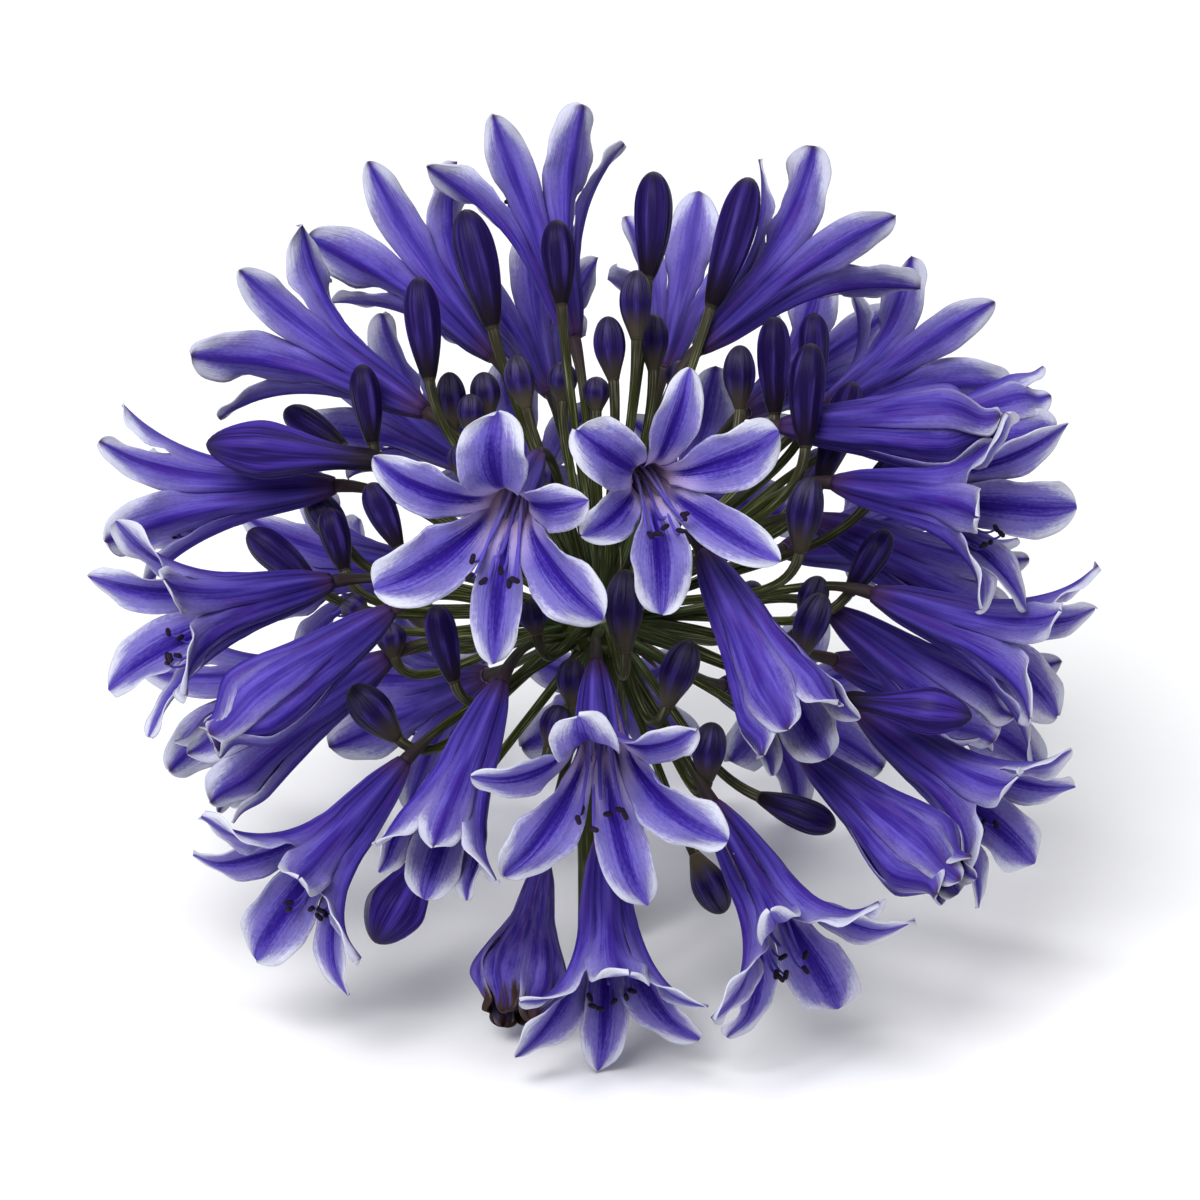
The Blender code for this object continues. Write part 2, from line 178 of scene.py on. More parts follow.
class Finish:
    """A material's nodes, added one at a time; each call gives back the socket that the next one reads."""

    def __init__(self, name, roughness, gloss=0.35):
        self.material = bpy.data.materials.new(name)
        self.material.use_nodes = True
        self.tree = self.material.node_tree
        self.shader = self.tree.nodes["Principled BSDF"]
        self.shader.inputs["Roughness"].default_value = roughness
        self.shader.inputs["Specular IOR Level"].default_value = gloss

    def put(self, socket, value):
        """Links a socket to another, or gives it a plain value; a colour's three numbers become opaque."""
        if isinstance(value, bpy.types.NodeSocket):
            self.tree.links.new(value, socket)
        else:
            socket.default_value = (*value, 1.0) if isinstance(value, tuple) else value

    def add(self, kind, inputs=(), **settings):
        made = self.tree.nodes.new(kind)
        for key, value in settings.items():
            setattr(made, key, value)
        for key, value in dict(inputs).items():
            self.put(made.inputs[key], value)
        return made

    def parts(self, mark):
        """The three numbers of a vector that the mesh carries."""
        carried = self.add("ShaderNodeAttribute", attribute_name=mark)
        split = self.add("ShaderNodeSeparateXYZ", {0: carried.outputs["Vector"]})
        return split.outputs[0], split.outputs[1], split.outputs[2]

    def vector(self, x, y, z):
        return self.add("ShaderNodeCombineXYZ", {0: x, 1: y, 2: z}).outputs[0]

    def maths(self, operation, first, second=0.0):
        return self.add("ShaderNodeMath", {0: first, 1: second}, operation=operation).outputs[0]

    def times(self, first, second):
        return self.maths("MULTIPLY", first, second)

    def plus(self, first, second):
        return self.maths("ADD", first, second)

    def step(self, value, low, high):
        """Smooth step of a value: 0 at low and 1 at high. With high under low it falls from 1 to 0."""
        rising = high > low
        ends = {"From Min": min(low, high), "From Max": max(low, high)}
        reach = {"To Min": 0.0 if rising else 1.0, "To Max": 1.0 if rising else 0.0}
        inputs = {"Value": value, **ends, **reach}
        made = self.add("ShaderNodeMapRange", inputs, interpolation_type="SMOOTHSTEP")
        return made.outputs["Result"]

    def around(self, circle, along, wide, long, shift):
        """A place for noise on a round shell: its circle times wide, shifted, and its length times long."""
        round_x, round_y = circle
        shifted = self.plus(self.times(round_x, wide), shift)
        return self.vector(shifted, self.times(round_y, wide), self.times(along, long))

    def noise(self, where, scale, detail):
        made = self.add("ShaderNodeTexNoise", {"Vector": where, "Scale": scale, "Detail": detail})
        return made.outputs["Fac"]

    def mix(self, share, first, second):
        made = self.add("ShaderNodeMix", {0: share, 6: first, 7: second}, data_type="RGBA")
        return made.outputs[2]

    def lighten(self, colour, value):
        return self.add("ShaderNodeHueSaturation", {"Value": value, "Color": colour}).outputs[0]

    def close(self, colour, bump, depth, roughness):
        """Joins the colour, a bump of a depth in metres and a roughness to the shader."""
        relief = self.add("ShaderNodeBump", {"Strength": 1.0, "Distance": depth, "Height": bump})
        self.put(self.shader.inputs["Base Color"], colour)
        self.put(self.shader.inputs["Normal"], relief.outputs["Normal"])
        self.put(self.shader.inputs["Roughness"], roughness)
        return self.material


def stalk_material():
    """Olive with pale streaks along it, which also stand in as painted highlights, purple-brown toward the
    flower, and a pale bloom near the hub.

    Growth holds cosine, sine and share along; shade holds tone, how far the purple reaches, and cut pith.
    """
    finish = Finish("stalk skin", 0.36, 0.05)
    times, plus, step, mix = finish.times, finish.plus, finish.step, finish.mix
    round_x, round_y, along = finish.parts("growth")
    tone, purple, pith = finish.parts("shade")
    fibre = finish.around((round_x, round_y), along, 2.6, 3.0, times(tone, 9.0))
    streaks = finish.noise(fibre, 1.6, 3.0)
    # Pale streaks: partly the stalk's own streaks, partly painted highlights in place of a gloss
    colour = mix(step(streaks, 0.48, 0.80), STALK_OLIVE, STALK_PALE_AND_SHEEN)
    colour = mix(times(step(along, 0.34, 0.05), 0.40), colour, STALK_BLOOM)
    reach = step(plus(along, times(streaks, 0.25)), 0.72, 1.12)
    colour = mix(times(reach, purple), colour, STALK_PURPLE)
    colour = finish.lighten(colour, plus(times(tone, 1.0), 0.45))
    colour = mix(pith, colour, CUT_PITH)
    return finish.close(colour, streaks, 0.00012, plus(times(streaks, 0.2), 0.34))


stalk_skin = stalk_material()

scape_height = np.concatenate(([0.0], np.linspace(CUT_BEVEL, HUB[2] - 3.0, SCAPE_ROWS)))
scape_share = scape_height / scape_height[-1]
scape_turn = np.arange(SCAPE_SIDES) * FULL_TURN / SCAPE_SIDES
scape_path = HUB * (1.0, 1.0, 0.0) + np.outer(scape_height, (0.0, 0.0, 1.0))
scape_radius = SCAPE_RADIUS * (1.0 + 0.30 * ease(scape_share, 0.82, 1.0) - 0.03 * np.sin(scape_share * 9.0))
scape_radius[0] -= CUT_BEVEL
scape_ribs = SCAPE_RIB_DEPTH * np.cos(SCAPE_RIBS * scape_turn)
scape = sweep(scape_path, scape_radius[:, None] + scape_ribs[None, :], SCAPE_SIDES, RIGHT)
scape_pith = np.zeros(len(scape["points"]))
scape_pith[:SCAPE_SIDES] = 1.0
scape_pith[-2] = 1.0

hub_rise = np.linspace(-0.98, 0.98, SCAPE_ROWS)
hub_path = HUB + np.outer(hub_rise * HUB_HEIGHT, (0.0, 0.0, 1.0))
hub_profile = HUB_RADIUS * np.sqrt(1.0 - hub_rise**2)
hub_bumps = 1.0 + 0.05 * np.sin(11.0 * scape_turn)[None, :] * np.cos(7.0 * hub_rise)[:, None]
receptacle = sweep(hub_path, hub_profile[:, None] * hub_bumps, SCAPE_SIDES, RIGHT)

add_piece(
    "scape_and_receptacle",
    (shaded(scape, 0.55, 0.0, scape_pith), shaded(receptacle, 0.7, 0.0, 0.0)),
    stalk_skin,
    ("scape_and_pedicels",),
)


# Pedicels
# One slender round stalk for each floret and bud, all from the receptacle. Fleshy and smooth, it thickens
# a little where it grows on into the flower, and turns from olive to purple-brown there.

PEDICEL_ROWS = 22
PEDICEL_SIDES = 12
PEDICEL_ROOT = 5.0
PEDICEL_RADIUS = 0.95
PEDICEL_WAIST = 0.16
PEDICEL_SWELL = 0.34
BUD_PEDICEL_SWELL = 0.05
FLORET_PURPLE = 0.95
BUD_PURPLE = 0.45
ROOT_PULL = 0.45
END_PULL = 0.30
FLORET_JOIN = 0.6
BUD_JOIN = 0.8

# Florets: place of the base, heading of the trumpet, roll in degrees, spread from 0 closed to 1 wide open,
# and size as a share of a full-grown floret
FLORETS = (
    ((-11, 28, 40), (-0.23, -0.45, 0.86), -5, 1.00, 1.00),
    ((4, 27.5, 40), (0.25, -0.23, 0.94), 58, 1.00, 0.90),
    ((-1, -7, 49), (0.03, -0.68, 0.73), 15, 1.00, 0.97),
    ((0, -37, 30), (0.05, -0.87, 0.49), 0, 0.78, 0.91),
    ((-34, -24, 28), (-0.59, -0.69, 0.42), 0, 0.90, 0.97),
    ((-17, -10, 46), (-0.33, -0.84, 0.42), 20, 0.50, 0.88),
    ((-10, -41, 18), (-0.17, -0.90, 0.30), 0, 0.20, 0.66),
    ((19, -31, 34), (0.46, -0.77, 0.43), 0, 0.90, 0.97),
    ((17, 12, 45), (0.42, -0.80, 0.42), 0, 0.42, 0.92),
    ((34, -22, 33), (0.70, -0.60, 0.39), 0, 0.28, 0.84),
    ((45, -16, 14), (0.77, -0.55, 0.34), 0, 0.78, 0.90),
    ((47, 5, 15), (0.92, -0.34, 0.21), 0, 0.85, 0.92),
    ((40, 2, 5), (0.80, -0.57, -0.15), 0, 0.30, 0.85),
    ((40, 24, 23), (0.86, -0.15, 0.49), 30, 0.82, 0.94),
    ((37, 18, -2), (0.85, -0.35, -0.30), 0, 0.50, 0.90),
    ((31, 34, 16), (0.98, -0.02, 0.20), 0, 0.20, 0.86),
    ((47, 32, -5), (0.93, 0.15, -0.30), 0, 0.42, 0.80),
    ((39, 37, -8), (0.58, 0.36, -0.72), 0, 0.85, 0.90),
    ((17, 48, 3), (0.68, 0.61, -0.40), 25, 0.85, 0.95),
    ((11, 45, -20), (0.14, 0.60, -0.80), 15, 0.80, 0.88),
    ((-5, 50, 0), (-0.24, 0.89, -0.38), 10, 0.85, 0.94),
    ((-9, 41, -26), (-0.16, 0.52, -0.84), 0, 0.80, 0.90),
    ((-19, 47, -5), (-0.52, 0.61, -0.60), 20, 0.82, 0.95),
    ((-31, 37, 3), (-0.79, 0.45, -0.38), 0, 0.88, 0.95),
    ((-23, 28, -25), (-0.58, 0.38, -0.74), 0, 0.80, 0.90),
    ((-47, 24, 0), (-0.97, -0.06, -0.22), 0, 0.75, 0.96),
    ((-47, 7, 14), (-0.89, -0.22, 0.38), 0, 0.85, 0.95),
    ((-36, 2, 32), (-0.78, -0.56, 0.28), 0, 0.16, 0.86),
    ((-37, -6, 10), (-0.84, -0.54, 0.00), 0, 0.50, 0.90),
    ((26, 38, -30), (0.52, 0.36, -0.80), 0, 0.80, 0.90),
    ((-31, 9, -35), (-0.68, 0.03, -0.73), 0, 0.80, 0.95),
    ((-10, 21, -43), (-0.22, 0.28, -0.93), 0, 0.85, 0.95),
    ((12, 20, -44), (0.25, 0.25, -0.93), 0, 0.85, 0.95),
    ((33, 13, -35), (0.70, 0.10, -0.71), 0, 0.85, 0.95),
    ((-21, -10, -44), (-0.42, -0.17, -0.90), 0, 0.80, 1.00),
    ((1, -11, -49), (0.02, -0.12, -0.99), 0, 0.80, 0.95),
    ((22, -12, -43), (0.45, -0.13, -0.89), 0, 0.80, 1.00),
    ((-42, -7, -24), (-0.85, -0.26, -0.47), 0, 0.80, 0.95),
    ((42, -7, -24), (0.85, -0.26, -0.47), 0, 0.80, 0.95),
)

# Larger buds: base, tip and width
LARGE_BUDS = (
    ((-19, 51, 10), (-24, 72, 9), 8.3),
    ((-30, 42, 12), (-32, 60, 12), 7.0),
    ((-40, 31, 8), (-42, 45, 8), 6.0),
    ((-7, 55, 12), (-8, 70, 12), 6.5),
    ((8, 60, 5), (9, 79, 4), 7.5),
    ((19, 55, 5), (26, 78, 3), 8.0),
    ((30, 36, 14), (30, 53, 15), 7.0),
    ((35, 30, 23.2), (36, 48, 24.2), 7.0),
    ((37, 40, 8), (37, 54, 8), 6.0),
    ((38, 24, 8), (44, 42, 7), 7.0),
    ((43, 5, 10), (50, 16, 11), 6.0),
    ((-35, 13, 22), (-40, 24, 23), 6.0),
    ((-45, 9, 6), (-48, 20, 6), 6.0),
    ((-50, 6, 5), (-62, 16, 4), 7.0),
    ((-25, -10, 38), (-28, 3, 41), 6.5),
    ((27, -30, 22), (40, -35, 26), 6.5),
    ((-38, 28, 12), (-69, 31, 10), 10.0),
    ((-27, -36, 20), (-39, -55, 24), 10.5),
    ((41, -13, 28), (63, -16, 33), 8.0),
    ((-46, 31, -16), (-57, 38, -22), 6.5),
)

# Smaller buds: base, tip and width
SMALL_BUDS = (
    ((6, 49, 15), (6, 61, 16), 5.5),
    ((2, 42, 15), (1, 53, 16), 5.5),
    ((9, 44, 5), (9, 54, 5), 5.0),
    ((-13, 37, 20), (-15, 46, 21), 5.0),
    ((-26, 34, 0), (-27, 44, 0), 5.0),
    ((-20, 36, 0), (-21, 44, 0), 5.0),
    ((-23, 33, 5), (-23, 40, 5), 4.5),
    ((-1, 37, 5), (-1, 43, 5), 4.5),
    ((-7, 39, -5), (-7, 46, -5), 5.0),
    ((24, 37, 15), (24, 48, 16), 5.5),
    ((47, 21, 3), (53, 29, 3), 6.0),
    ((34, 12, 25), (36, 25, 27), 6.0),
    ((35, 0, 12), (38, 8, 12), 5.0),
    ((34, -6, 22), (38, 5, 24), 6.0),
    ((-45, 13, -5), (-52, 23, -6), 6.0),
    ((-35, -20, 25), (-43, -11, 27), 6.5),
    ((-36, -6, 15), (-37, 0, 15), 5.0),
    ((-41, 1, 10), (-45, 4, 10), 4.5),
    ((4, -5, 45), (4, 9, 48), 6.0),
    ((11, -14, 42), (15, -3, 45), 6.0),
    ((18, -27, 30), (19, -17, 32), 6.0),
    ((16, -40, 20), (21, -50, 22), 6.0),
    ((-5, -14, 35), (-5, -6, 36), 5.0),
    ((-9, -21, 35), (-7, -14, 36), 5.0),
    ((-11, -2, 40), (-12, 4, 41), 5.0),
    ((-24, 25, 20), (-24, 31, 20), 5.0),
    ((-10, 22, 25), (-10, 28, 25), 5.0),
    ((13, 40, 0), (14, 46, 0), 4.5),
    ((-15, 12, -38), (-16, 20, -42), 5.5),
    ((3, 8, -42), (3, 16, -47), 5.5),
    ((25, 0, -38), (28, 7, -43), 5.5),
    ((-31, -2, -30), (-36, 6, -35), 5.5),
    ((35, 22, -20), (40, 31, -23), 5.5),
)


def bezier(start, first_pull, last_pull, end, rows):
    """Cubic curve: the four points weighed by the cubes and squares of the share and of what is left."""
    share = np.linspace(0.0, 1.0, rows)[:, None]
    rest = 1.0 - share
    path = start * rest**3 + first_pull * 3 * rest**2 * share
    path = path + last_pull * 3 * rest * share**2
    return path + end * share**3


def pedicel(base, heading, end_shift, swell, tone, purple):
    """Round stalk on a curve that leaves the receptacle outwards and ends along the heading.

    Its radius sinks a little toward the middle, with the sine of the share, and swells in the last tenth.
    """
    end = base + heading * end_shift
    out = unit(end - HUB)
    start = HUB + out * PEDICEL_ROOT
    reach = np.linalg.norm(end - start)
    path = bezier(start, start + out * reach * ROOT_PULL, end - heading * reach * END_PULL, end, PEDICEL_ROWS)
    share = np.linspace(0.0, 1.0, PEDICEL_ROWS)
    radius = PEDICEL_RADIUS - PEDICEL_WAIST * np.sin(math.pi * share) + swell * ease(share, 0.80, 1.0)
    across = np.cross(out, heading) + np.array((0.013, 0.021, 0.017))
    return shaded(sweep(path, radius, PEDICEL_SIDES, unit(across)), tone, purple, 0.0)


stalk_dice = np.random.default_rng(11)
stalks = []
for base, heading, *_ in FLORETS:
    tone = stalk_dice.uniform(0.2, 0.9)
    stalks.append(pedicel(place(base), direction(heading), FLORET_JOIN, PEDICEL_SWELL, tone, FLORET_PURPLE))
for base, tip, _ in LARGE_BUDS + SMALL_BUDS:
    low, high = place(base), place(tip)
    tone = stalk_dice.uniform(0.3, 1.0)
    stalks.append(pedicel(low, unit(high - low), BUD_JOIN, BUD_PEDICEL_SWELL, tone, BUD_PURPLE))
add_piece("pedicels", stalks, stalk_skin, ("scape_and_pedicels",))


# Buds
# Closed flowers, club shaped with a blunt tip, six ribbed where the tepals fold over each other. Waxy,
# near-black indigo that pales along the ribs, with painted highlight patches there, green-brown at the base
# of small ones and grey at the tip.

BUD_ROWS = 30
BUD_SIDES = 48
BUD_WIDEST = 0.66
YOUNG_WIDEST = 0.56
BUD_FOOT_SHARE = 0.40
BUD_FOOT_RADIUS = 1.05
BUD_SLIMNESS = 0.85
OPENING_NECK = 0.40
OPENING_TONE = 0.8
OPENING_BUDS = (17, 18, 19)
BUD_RIB = 0.055
BUD_SEAM = 0.035
BUD_TWIST = 0.35
BUD_BEND = 0.03
BUD_POLE = 0.12

BUD_BASE = (0.008, 0.005, 0.010)
BUD_BODY = (0.007, 0.003, 0.034)
# Lighter rib colour, partly the bud's own paler ribs and partly painted highlight
BUD_RIB_PALE_AND_HIGHLIGHT = (0.036, 0.021, 0.155)
BUD_TIP = (0.020, 0.015, 0.020)
BUD_BROWN = (0.066, 0.054, 0.034)
BUD_BLOOM = (0.066, 0.060, 0.086)
BUD_JOINT = (0.110, 0.085, 0.055)
BUD_VIOLET = (0.048, 0.024, 0.255)
BUD_SEAM_PALE = (0.046, 0.034, 0.135)


def bud(base, tip, width, tone, young, opening):
    """Club-shaped bud: up to where it is widest the radius rises from the foot's by a power of the sine of
    the way there, and from there it falls as the root of one less a power of the way to the tip.

    It is raised along six ribs, the cosine of six times the angle, with a finer seam on each at twelve. The
    foot is rounded over its first tenth. A young bud is widest lower down. A bud about to open has a long
    neck, and its head swells by the smooth step to a blunt end.
    """
    share = np.linspace(0.0, 1.0, BUD_ROWS) ** 0.9
    share = np.where(share > 0.8, 1.0 - (1.0 - share) ** 1.6 * 0.2**-0.6, share)
    small = float(young > 0.0)
    half = width / 2.0 * (BUD_SLIMNESS + (1.0 - BUD_SLIMNESS) * max(opening, small))
    foot = max(BUD_FOOT_SHARE, BUD_FOOT_RADIUS / half)
    widest = BUD_WIDEST + (YOUNG_WIDEST - BUD_WIDEST) * small
    rise = np.sin(math.pi / 2.0 * np.minimum(share / widest, 1.0)) ** (1.0 + 0.3 * small)
    fall = np.clip((share - widest) / (1.0 - widest), 0.0, 1.0) ** 2.2
    club = (foot + (1.0 - foot) * rise) * (1.0 - fall) ** 0.5
    club = club * (1.0 - (1.0 - BUD_FOOT_RADIUS / half / foot) * (1.0 - np.minimum(share / 0.10, 1.0)) ** 2)
    head = OPENING_NECK + (1.0 - OPENING_NECK) * ease(share, 0.20, 0.74)
    head = head * (1.0 - np.clip((share - 0.64) / 0.36, 0.0, 1.0) ** 2.0) ** 0.60
    head = head * (0.7 + 0.3 * ease(share, 0.0, 0.08))
    club = club + (head - club) * opening
    radius = half * club
    radius[-1] = BUD_POLE
    angle = np.arange(BUD_SIDES) * FULL_TURN / BUD_SIDES
    turned = angle[None, :] + (BUD_TWIST * opening + 0.1) * share[:, None]
    body = np.sin(math.pi * share)[:, None]
    ribs = np.cos(6.0 * turned) * BUD_RIB * (1.0 + 0.6 * opening) + np.cos(12.0 * turned) * BUD_SEAM
    rounded = radius[:, None] * (1.0 + body * ribs)
    low, high = place(base), place(tip)
    heading = unit(high - low)
    sideways = unit(np.cross(heading, UP + 0.1 * RIGHT))
    bend = BUD_BEND * np.linalg.norm(high - low) * np.sin(math.pi * share)
    path = low + np.outer(share, high - low) + np.outer(bend, sideways)
    shell = sweep(path, rounded, BUD_SIDES, sideways)
    shell["growth"][: len(share) * BUD_SIDES, 2] = np.repeat(share, BUD_SIDES)
    ridge = np.concatenate((np.cos(6.0 * turned).ravel(), (0.0, 0.0)))
    return shaded(shell, ridge, tone, young)


def bud_material():
    """Indigo over the whole bud, lighter on the ribs, with painted highlight patches on them and a pale seam
    on each; near black at the base, grey at the tip and violet between the ribs of one about to open. Young
    ones have a brown base and a bloom.

    Growth holds cosine, sine and share along; shade holds the height of the ribs, tone, and how young it is.
    """
    finish = Finish("bud skin", 0.34, 0.06)
    times, plus, step, mix = finish.times, finish.plus, finish.step, finish.mix
    round_x, round_y, along = finish.parts("growth")
    ridge, tone, young = finish.parts("shade")
    fibre = finish.around((round_x, round_y), along, 4.5, 1.2, times(tone, 7.0))
    streaks = finish.noise(fibre, 1.9, 4.0)
    spots = finish.around((round_x, round_y), along, 1.3, 1.6, times(tone, 11.0))
    cloud = finish.noise(spots, 1.4, 2.0)
    # Lighter ribs, broken by the cloud into patches that are partly painted highlights
    raised = step(plus(times(ridge, 0.45), times(streaks, 1.5)), 0.50, 1.45)
    raised = times(raised, step(cloud, 0.34, 0.62))
    colour = mix(step(along, 0.05, 0.50), BUD_BASE, BUD_BODY)
    colour = mix(times(raised, step(along, 0.10, 0.45)), colour, BUD_RIB_PALE_AND_HIGHLIGHT)
    seam = times(step(ridge, 0.80, 1.0), step(streaks, 0.34, 0.60))
    seam = times(seam, times(cloud, step(along, 0.05, 0.40)))
    colour = mix(seam, colour, BUD_SEAM_PALE)
    folds = step(plus(streaks, times(ridge, 0.10)), 0.34, 0.66)
    folds = plus(times(folds, 0.75), 0.25)
    violet = times(times(tone, folds), step(along, 0.08, 0.50))
    colour = mix(violet, colour, BUD_VIOLET)
    brown = times(young, step(along, 0.55, 0.10))
    colour = mix(times(brown, 0.8), colour, BUD_BROWN)
    bloom = step(plus(streaks, times(ridge, 0.06)), 0.32, 0.54)
    bloom = times(step(along, 0.50, 0.95), bloom)
    colour = mix(times(times(bloom, young), 0.75), colour, BUD_BLOOM)
    colour = mix(times(step(along, 0.035, 0.005), 0.55), colour, BUD_JOINT)
    tip = step(plus(along, times(streaks, 0.16)), 0.92, 1.12)
    colour = mix(times(tip, 0.85), colour, BUD_TIP)
    return finish.close(colour, streaks, 0.00012, plus(times(streaks, 0.25), 0.27))


bud_skin = bud_material()
bud_dice = np.random.default_rng(23)
for number, (base, tip, width) in enumerate(LARGE_BUDS, 1):
    opening = number in OPENING_BUDS
    tone = OPENING_TONE if opening else bud_dice.uniform(0.0, 0.30)
    shell = bud(base, tip, width, tone, 0.0, float(opening))
    add_piece(f"ribbed_bud_{number:02d}", (shell,), bud_skin, (f"bud_{number:02d}",))
small = [bud(*entry, bud_dice.uniform(0.0, 0.2), bud_dice.uniform(0.5, 1.0), 0.0) for entry in SMALL_BUDS]
add_piece("small_buds", small, bud_skin, ("scape_and_pedicels",))


# Florets
# A trumpet of six tepals grown together in a tube at its base: three broad ones with rounded ends between
# three narrower pointed ones. Thin, satiny and violet-blue, with a dark midrib and a pale, wavy margin.

TUBE_LENGTH = 15.0
TUBE_ROWS = 12
TUBE_FLARE = 0.75
JOIN_RADIUS = 1.35
SPLIT_RADIUS = 4.8
LOBE_LENGTH = 29.0
LOBE_ROWS = 26
ACROSS = 17
INNER_HALF_WIDTH = 6.1
OUTER_HALF_WIDTH = 4.6
CLOSED_ANGLES = (-2.0, -14.0)
OPEN_ANGLES = (9.0, 82.0)
CURL_POWER = 1.4
MIDRIB_STEPS = 60
SPREAD_VARIATION = 0.07
TEPALS = 6
SPLIT_SHARE = 0.34
FLAT_SPREAD = (0.90, 1.0)
FLAT_NARROWING = 1.3
FLAT_RISE = 4.5
FLAT_SHORTENING = 4.2
FLAT_LEAN = 16.0
FLAT_POWER = 0.5
WIDEST_SHARE = 0.62
MID_THICKNESS = 0.62
EDGE_THICKNESS = 0.22
TIP_HALF_WIDTH = 0.25
BELL_SPREAD = (0.62, 0.25)
BELL_SWELL = 3.0
WILTED_SWELL = 3.2
BELL_PINCH = 0.66
WILTED_OPENING = 0.34
BELL_POWER = 1.3
CLAW_NARROWING = 0.05
FOOT_WIDENING = 0.14
WAVE_DEPTHS = (0.65, 1.05)
WAVES = 1.9
FLUTTERS = 4.7
FLUTTER_SHARE = 0.32
KEEL_HEIGHT = 0.50
KEEL_SHARE = 0.16
PLEAT_DEPTH = 0.07
TUBE_RIB_HEIGHT = 0.42
LAYER_OFFSET = 0.34
CHANNEL_DEPTHS = (0.5, 0.9)

# Florets whose lobes open in a straighter funnel, as a share
STRAIGHT = {12: 0.4, 14: 0.3, 19: 0.9, 24: 0.8, 26: 0.6, 27: 0.5}
STRAIGHT |= dict.fromkeys((18, 20, 21, 22, 23, 25, 30), 1.0)
STRAIGHT_HIDDEN = 0.5
SHOWN_FLORETS = 30
STRAIGHT_FIRST = 5.0
STRAIGHT_LAST = 17.0
STRAIGHT_NARROWING = 0.6
STRAIGHT_SLIMNESS = 0.93
STRAIGHT_POWER = 0.4

# Lobes out of line: floret and lobe, degrees more of lean, radians more of turn, and share of full length
BENT_LOBES = {
    (1, 5): (-12.0, 0.0, 0.84),
    (2, 1): (-12.0, -0.15, 0.78),
    (2, 2): (0.0, 0.10, 0.95),
    (2, 3): (0.0, 0.13, 1.07),
    (3, 2): (-12.0, 0.10, 1.0),
    (3, 3): (-8.0, 0.0, 1.14),
    (3, 5): (0.0, 0.0, 0.88),
}

# Florets that wilt or begin to, as a share, and those with a tone of their own, from 0 dark to 1 pale
WILTED = {7: 1.0, 9: 0.12, 10: 0.15, 16: 0.10, 28: 0.12}
TONES = {1: 0.42, 2: 0.42, 5: 0.45, 8: 0.45, 9: 0.30, 10: 0.28, 20: 0.74, 28: 0.30}
TONES |= dict.fromkeys((16, 22, 25, 30), 0.25)

TEPAL_BODY = (0.098, 0.069, 0.410)
TEPAL_DEEP = (0.033, 0.016, 0.215)
TEPAL_MIDRIB = (0.017, 0.004, 0.170)
TEPAL_WARM = (0.062, 0.022, 0.205)
TEPAL_LILAC = (0.146, 0.124, 0.375)
TEPAL_MARGIN = (0.520, 0.530, 0.630)
TEPAL_THROAT = (0.600, 0.420, 0.560)
TEPAL_CLAW = (0.540, 0.440, 0.680)
TUBE_VIOLET = (0.016, 0.008, 0.115)
TUBE_LINE = (0.042, 0.027, 0.225)
# Painted shade colour for the creases between tepals on the tube
TUBE_VALLEY_SHADE = (0.007, 0.003, 0.050)
TUBE_FOOT = (0.050, 0.022, 0.060)
PALE_VIOLET = (0.420, 0.350, 0.860)
WILT_BROWN = (0.040, 0.022, 0.018)
WILT_PINK = (0.260, 0.180, 0.420)


def how_straight(number):
    """Share of a straight funnel in a floret's lobes; the florets that the photo doesn't show have half."""
    return STRAIGHT.get(number, STRAIGHT_HIDDEN if number > SHOWN_FLORETS else 0.0)


def lobe_width(share, inner):
    """Half width along a lobe, as a share of its widest: it rises from its share at the split to 1 by the
    smooth step, then falls to 0 at the tip as one less a power of the way, to the power one over another.
    """
    half = INNER_HALF_WIDTH if inner else OUTER_HALF_WIDTH
    start = SPLIT_RADIUS * math.pi / TEPALS / half
    rise = start + (1.0 - start) * ease(share, 0.0, WIDEST_SHARE)
    way = np.clip((share - WIDEST_SHARE) / (1.0 - WIDEST_SHARE), 0.0, 1.0)
    power, root = (2.6, 2.1) if inner else (2.0, 1.7)
    return half * rise * (1.0 - way**power) ** (1.0 / root)


def blade(front, back, growth):
    """Closed thin shell between two grids of one size: front, back, and a rim of quads round the edge."""
    rows, columns = front.shape[:2]
    index = np.arange(rows * columns).reshape(rows, columns)
    quads = np.stack((index[:-1, :-1], index[:-1, 1:], index[1:, 1:], index[1:, :-1]), -1).reshape(-1, 4)
    rim = np.concatenate((index[0], index[1:, -1], index[-1, -2::-1], index[-2:0:-1, 0]))
    after = np.roll(rim, -1)
    behind = rows * columns
    edge = np.stack((after, rim, rim + behind, after + behind), -1)
    faces = (quads, quads[:, ::-1] + behind, edge)
    points = np.concatenate((front.reshape(-1, 3), back.reshape(-1, 3)))
    return {"points": points, "faces": faces, "growth": np.concatenate((growth, growth))}


